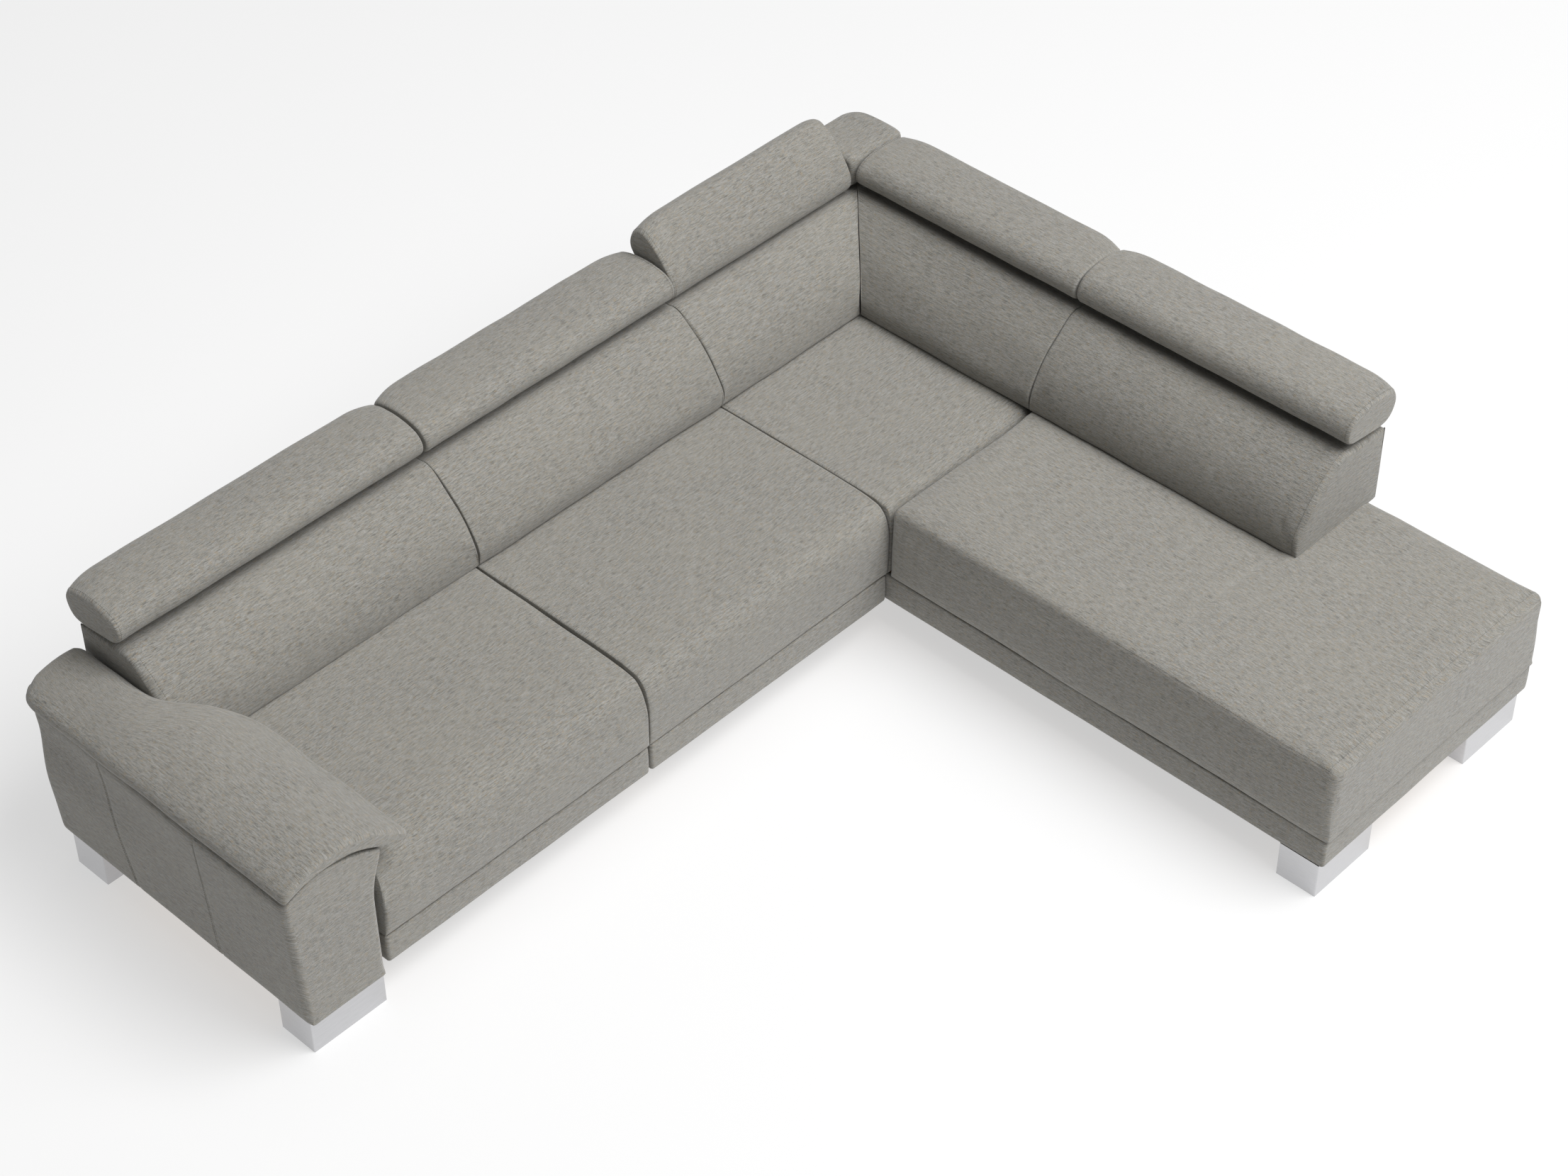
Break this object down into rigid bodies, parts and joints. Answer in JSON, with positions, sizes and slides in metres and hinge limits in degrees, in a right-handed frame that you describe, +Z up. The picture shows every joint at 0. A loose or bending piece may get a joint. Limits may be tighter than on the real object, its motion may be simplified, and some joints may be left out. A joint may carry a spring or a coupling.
{
  "type": "corner sofa",
  "caption": "L-shaped corner sofa with one padded arm, an open chaise end, folding headrests along both backs and polished box feet.",
  "frame": {"origin": "on the floor, under the middle of the overall box", "axes": "+X along the long wing from the arm to the corner, +Y from the seat to the long back, +Z up"},
  "size_m": [3.061, 2.491, 0.8915],
  "materials": {
    "upholstery": "structured weave with slubs",
    "webbing": "elastic webbing",
    "dust_cover": "thin felt",
    "wood": "raw sawn",
    "spring_steel": "drawn wire",
    "fitting_steel": "zinc plated",
    "chrome": "polished",
    "black_plastic": "moulded"
  },
  "bodies": {
    "sofa": {"arm_body": "upholstery", "arm_bolts": "fitting_steel", "arm_frame": "wood", "arm_pad": "upholstery", "arm_spacers": "wood", "back_cushion_chaise": "upholstery", "back_cushion_corner_left": "upholstery", "back_cushion_corner_right": "upholstery", "back_cushion_left": "upholstery", "back_cushion_middle": "upholstery", "back_end_arm": "upholstery", "back_end_chaise": "upholstery", "back_frame_chaise": "wood", "back_frame_corner_left": "wood", "back_frame_corner_right": "wood", "back_frame_left": "wood", "back_frame_middle": "wood", "back_webbing_long": "webbing", "back_webbing_right": "webbing", "base_cover_chaise": "upholstery", "base_cover_left": "upholstery", "base_cover_middle": "upholstery", "base_frame_chaise": "wood", "base_frame_left": "wood", "base_frame_middle": "wood", "corner_block": "upholstery", "corner_post": "wood", "dust_cover_chaise": "dust_cover", "dust_cover_left": "dust_cover", "dust_cover_middle": "dust_cover", "foot_arm_front": "chrome", "foot_arm_rear": "chrome", "foot_bolts": "fitting_steel", "foot_chaise_inner": "chrome", "foot_chaise_outer": "chrome", "headrest_brackets": "fitting_steel", "headrest_pins": "fitting_steel", "module_connectors": "fitting_steel", "rear_cover_long": "upholstery", "rear_cover_right": "upholstery", "seat_cushion_chaise": "upholstery", "seat_cushion_corner": "upholstery", "seat_cushion_left": "upholstery", "seat_cushion_middle": "upholstery", "seat_springs_chaise": "spring_steel", "seat_springs_corner": "spring_steel", "seat_springs_left": "spring_steel", "seat_springs_middle": "spring_steel", "support_legs": "black_plastic"},
    "left_headrest": {"headrest_left": "upholstery", "headrest_arms_left": "fitting_steel"},
    "middle_headrest": {"headrest_middle": "upholstery", "headrest_arms_middle": "fitting_steel"},
    "corner_left_headrest": {"headrest_corner_left": "upholstery", "headrest_arms_corner_left": "fitting_steel"},
    "corner_right_headrest": {"headrest_corner_right": "upholstery", "headrest_arms_corner_right": "fitting_steel"},
    "chaise_headrest": {"headrest_chaise": "upholstery", "headrest_arms_chaise": "fitting_steel"}
  },
  "joints": [
    {"name": "left_headrest_hinge", "type": "hinge", "parent": "sofa", "child": "left_headrest", "pos_m": [-0.838, 1.0785, 0.7548], "axis": [1, 0, 0], "range_deg": [0, 75]},
    {"name": "middle_headrest_hinge", "type": "hinge", "parent": "sofa", "child": "middle_headrest", "pos_m": [0.1155, 1.0785, 0.7548], "axis": [1, 0, 0], "range_deg": [0, 75]},
    {"name": "corner_left_headrest_hinge", "type": "hinge", "parent": "sofa", "child": "corner_left_headrest", "pos_m": [0.933, 1.0785, 0.7548], "axis": [1, 0, 0], "range_deg": [-48, 27]},
    {"name": "corner_right_headrest_hinge", "type": "hinge", "parent": "sofa", "child": "corner_right_headrest", "pos_m": [1.3635, 0.624, 0.7548], "axis": [0, -1, 0], "range_deg": [0, 75]},
    {"name": "chaise_headrest_hinge", "type": "hinge", "parent": "sofa", "child": "chaise_headrest", "pos_m": [1.3635, -0.24, 0.7548], "axis": [0, -1, 0], "range_deg": [0, 75]}
  ]
}
